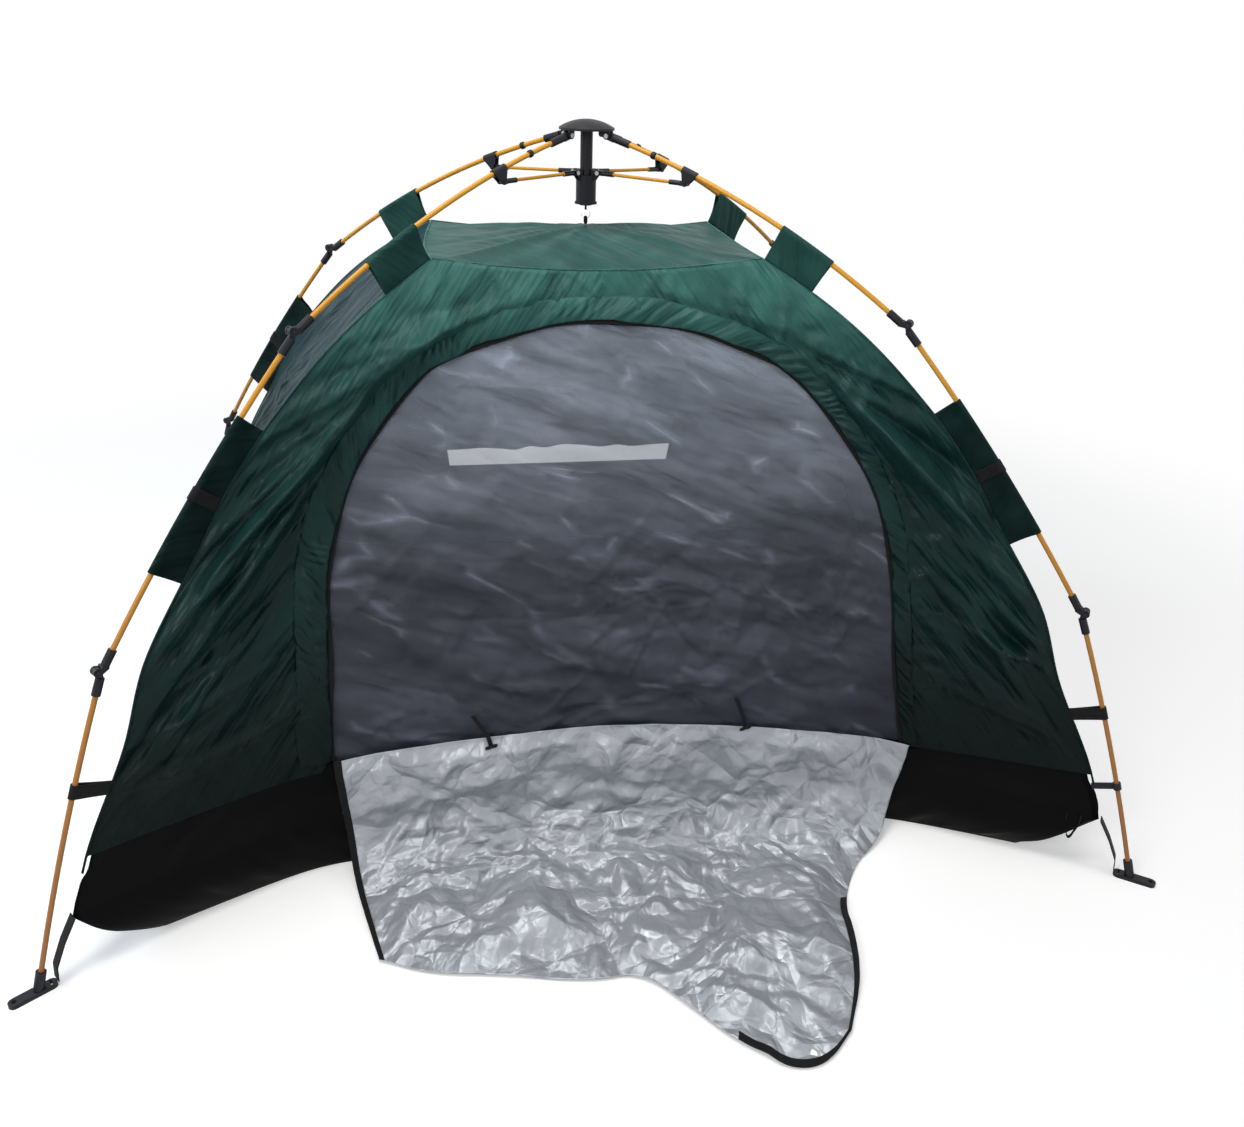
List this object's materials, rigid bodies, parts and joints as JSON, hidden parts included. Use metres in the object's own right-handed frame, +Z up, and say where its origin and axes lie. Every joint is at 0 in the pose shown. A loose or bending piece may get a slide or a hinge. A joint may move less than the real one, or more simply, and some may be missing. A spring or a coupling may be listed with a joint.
{
  "type": "tent on poles",
  "caption": "Hub-frame dome tent: hinged poles fold on a central hub, with a tub floor, mesh door screen, door flap and rear window.",
  "frame": {"origin": "on the ground under the hub, at the middle of the tub floor", "axes": "+X to the right as seen from the door, +Y to the rear, +Z up"},
  "size_m": [2.2148, 1.9044, 1.404],
  "materials": {
    "canopy_cloth": "woven, slight sheen",
    "roof_cloth": "woven, slight sheen, lit from above",
    "mesh": "fine netting",
    "tub_cloth": "coated, slight sheen",
    "coated_cloth": "silver coating, satin",
    "black_webbing": "matt tape",
    "black_plastic": "moulded, satin",
    "shaft_metal": "black coated tube",
    "steel": "rivets",
    "pole_fibreglass": "fibreglass rod, semi-gloss"
  },
  "bodies": {
    "tent": {"roof": "roof_cloth", "front_wall": "canopy_cloth", "door_mesh": "mesh", "left_wall": "canopy_cloth", "right_wall": "canopy_cloth", "rear_wall": "canopy_cloth", "window_panel": "canopy_cloth", "floor_tub": "tub_cloth", "door_flap": "coated_cloth", "door_flap_binding": "black_webbing", "pole_sleeves": "canopy_cloth", "pole_straps": "black_webbing", "corner_webbing": "black_webbing", "pole_clip": "black_plastic", "peg_loop": "black_webbing", "peak_loop": "black_webbing"},
    "sill": {"door_ties": "black_webbing"},
    "zip": {"zip_slider": "black_plastic"},
    "hub": {"hub_dome": "black_plastic", "hub_pins": "steel", "centre_shaft": "shaft_metal", "peak_hook": "black_plastic"},
    "runner": {"runner": "black_plastic", "runner_pins": "steel"},
    "front_left_upper": {"front_left_upper_pole": "pole_fibreglass", "front_left_upper_end_fittings": "black_plastic", "front_left_strut_bracket": "black_plastic"},
    "front_left_middle": {"front_left_middle_pole": "pole_fibreglass", "front_left_middle_end_fittings": "black_plastic"},
    "front_left_lower": {"front_left_lower_pole": "pole_fibreglass", "front_left_lower_knee_tongue": "black_plastic", "front_left_foot": "black_plastic"},
    "front_left_strut": {"front_left_strut": "black_plastic"},
    "front_right_upper": {"front_right_upper_pole": "pole_fibreglass", "front_right_upper_end_fittings": "black_plastic", "front_right_strut_bracket": "black_plastic"},
    "front_right_middle": {"front_right_middle_pole": "pole_fibreglass", "front_right_middle_end_fittings": "black_plastic"},
    "front_right_lower": {"front_right_lower_pole": "pole_fibreglass", "front_right_lower_knee_tongue": "black_plastic", "front_right_foot": "black_plastic"},
    "front_right_strut": {"front_right_strut": "black_plastic"},
    "rear_left_upper": {"rear_left_upper_pole": "pole_fibreglass", "rear_left_upper_end_fittings": "black_plastic", "rear_left_strut_bracket": "black_plastic"},
    "rear_left_middle": {"rear_left_middle_pole": "pole_fibreglass", "rear_left_middle_end_fittings": "black_plastic"},
    "rear_left_lower": {"rear_left_lower_pole": "pole_fibreglass", "rear_left_lower_knee_tongue": "black_plastic", "rear_left_foot": "black_plastic"},
    "rear_left_strut": {"rear_left_strut": "black_plastic"},
    "rear_right_upper": {"rear_right_upper_pole": "pole_fibreglass", "rear_right_upper_end_fittings": "black_plastic", "rear_right_strut_bracket": "black_plastic"},
    "rear_right_middle": {"rear_right_middle_pole": "pole_fibreglass", "rear_right_middle_end_fittings": "black_plastic"},
    "rear_right_lower": {"rear_right_lower_pole": "pole_fibreglass", "rear_right_lower_knee_tongue": "black_plastic", "rear_right_foot": "black_plastic"},
    "rear_right_strut": {"rear_right_strut": "black_plastic"}
  },
  "joints": [
    {"name": "frame_fold", "type": "slide", "parent": "tent", "child": "hub", "axis": [0, 0, -1], "range_m": [0, 0.62], "deforming": ["roof", "front_wall", "door_mesh", "left_wall", "right_wall", "rear_wall", "window_panel", "floor_tub", "door_flap", "door_flap_binding", "pole_sleeves", "pole_straps", "corner_webbing", "pole_clip", "peg_loop", "peak_loop"]},
    {"name": "runner_slide", "type": "slide", "parent": "hub", "child": "runner", "axis": [0, 0, 1], "range_m": [0, 0.069]},
    {"name": "sill_drop", "type": "slide", "parent": "tent", "child": "sill", "axis": [0, 0, -1], "range_m": [0, 0.25]},
    {"name": "zip_slide", "type": "slide", "parent": "sill", "child": "zip", "axis": [-0.0926, 0.11, 0.9896], "range_m": [0, 0.1]},
    {"name": "front_left_upper_pivot", "type": "hinge", "parent": "hub", "child": "front_left_upper", "pos_m": [-0.03888, -0.02815, 1.375], "axis": [0.5864, -0.81, 0], "range_deg": [0, 50]},
    {"name": "front_left_upper_knee", "type": "hinge", "parent": "front_left_upper", "child": "front_left_middle", "pos_m": [-0.55796, -0.4039, 1.0847], "axis": [-0.5864, 0.81, 0], "range_deg": [0, 190]},
    {"name": "front_left_lower_knee", "type": "hinge", "parent": "front_left_middle", "child": "front_left_lower", "pos_m": [-0.8961, -0.64867, 0.58101], "axis": [-0.6032, 0.7967, -0.0379], "range_deg": [0, 188]},
    {"name": "front_left_strut_pivot", "type": "hinge", "parent": "runner", "child": "front_left_strut", "pos_m": [-0.02268, -0.01642, 1.304], "axis": [0.5864, -0.81, 0], "range_deg": [0, 66.2]},
    {"name": "front_right_upper_pivot", "type": "hinge", "parent": "hub", "child": "front_right_upper", "pos_m": [0.03888, -0.02815, 1.375], "axis": [0.5864, 0.81, 0], "range_deg": [0, 50]},
    {"name": "front_right_upper_knee", "type": "hinge", "parent": "front_right_upper", "child": "front_right_middle", "pos_m": [0.55796, -0.4039, 1.0847], "axis": [-0.5864, -0.81, 0], "range_deg": [0, 190]},
    {"name": "front_right_lower_knee", "type": "hinge", "parent": "front_right_middle", "child": "front_right_lower", "pos_m": [0.8961, -0.64867, 0.58101], "axis": [-0.5684, -0.8219, -0.0379], "range_deg": [0, 188]},
    {"name": "front_right_strut_pivot", "type": "hinge", "parent": "runner", "child": "front_right_strut", "pos_m": [0.02268, -0.01642, 1.304], "axis": [0.5864, 0.81, 0], "range_deg": [0, 66.2]},
    {"name": "rear_left_upper_pivot", "type": "hinge", "parent": "hub", "child": "rear_left_upper", "pos_m": [-0.03888, 0.02815, 1.375], "axis": [-0.5864, -0.81, 0], "range_deg": [0, 50]},
    {"name": "rear_left_upper_knee", "type": "hinge", "parent": "rear_left_upper", "child": "rear_left_middle", "pos_m": [-0.55796, 0.4039, 1.0847], "axis": [0.5864, 0.81, 0], "range_deg": [0, 190]},
    {"name": "rear_left_lower_knee", "type": "hinge", "parent": "rear_left_middle", "child": "rear_left_lower", "pos_m": [-0.8961, 0.64867, 0.58101], "axis": [0.5684, 0.8219, -0.0379], "range_deg": [0, 188]},
    {"name": "rear_left_strut_pivot", "type": "hinge", "parent": "runner", "child": "rear_left_strut", "pos_m": [-0.02268, 0.01642, 1.304], "axis": [-0.5864, -0.81, 0], "range_deg": [0, 66.2]},
    {"name": "rear_right_upper_pivot", "type": "hinge", "parent": "hub", "child": "rear_right_upper", "pos_m": [0.03888, 0.02815, 1.375], "axis": [-0.5864, 0.81, 0], "range_deg": [0, 50]},
    {"name": "rear_right_upper_knee", "type": "hinge", "parent": "rear_right_upper", "child": "rear_right_middle", "pos_m": [0.55796, 0.4039, 1.0847], "axis": [0.5864, -0.81, 0], "range_deg": [0, 190]},
    {"name": "rear_right_lower_knee", "type": "hinge", "parent": "rear_right_middle", "child": "rear_right_lower", "pos_m": [0.8961, 0.64867, 0.58101], "axis": [0.6032, -0.7967, -0.0379], "range_deg": [0, 188]},
    {"name": "rear_right_strut_pivot", "type": "hinge", "parent": "runner", "child": "rear_right_strut", "pos_m": [0.02268, 0.01642, 1.304], "axis": [-0.5864, 0.81, 0], "range_deg": [0, 66.2]}
  ],
  "couplings": [
    {"joint": "runner_slide", "follows": "frame_fold", "ratio": 0.1112},
    {"joint": "sill_drop", "follows": "frame_fold", "ratio": 0.4032},
    {"joint": "front_left_upper_pivot", "follows": "frame_fold", "rad_per_m": 1.4075},
    {"joint": "front_left_upper_knee", "follows": "frame_fold", "rad_per_m": 5.3485},
    {"joint": "front_left_lower_knee", "follows": "frame_fold", "rad_per_m": 5.2922},
    {"joint": "front_left_strut_pivot", "follows": "frame_fold", "rad_per_m": 1.8635},
    {"joint": "front_right_upper_pivot", "follows": "frame_fold", "rad_per_m": 1.4075},
    {"joint": "front_right_upper_knee", "follows": "frame_fold", "rad_per_m": 5.3485},
    {"joint": "front_right_lower_knee", "follows": "frame_fold", "rad_per_m": 5.2922},
    {"joint": "front_right_strut_pivot", "follows": "frame_fold", "rad_per_m": 1.8635},
    {"joint": "rear_left_upper_pivot", "follows": "frame_fold", "rad_per_m": 1.4075},
    {"joint": "rear_left_upper_knee", "follows": "frame_fold", "rad_per_m": 5.3485},
    {"joint": "rear_left_lower_knee", "follows": "frame_fold", "rad_per_m": 5.2922},
    {"joint": "rear_left_strut_pivot", "follows": "frame_fold", "rad_per_m": 1.8635},
    {"joint": "rear_right_upper_pivot", "follows": "frame_fold", "rad_per_m": 1.4075},
    {"joint": "rear_right_upper_knee", "follows": "frame_fold", "rad_per_m": 5.3485},
    {"joint": "rear_right_lower_knee", "follows": "frame_fold", "rad_per_m": 5.2922},
    {"joint": "rear_right_strut_pivot", "follows": "frame_fold", "rad_per_m": 1.8635}
  ]
}
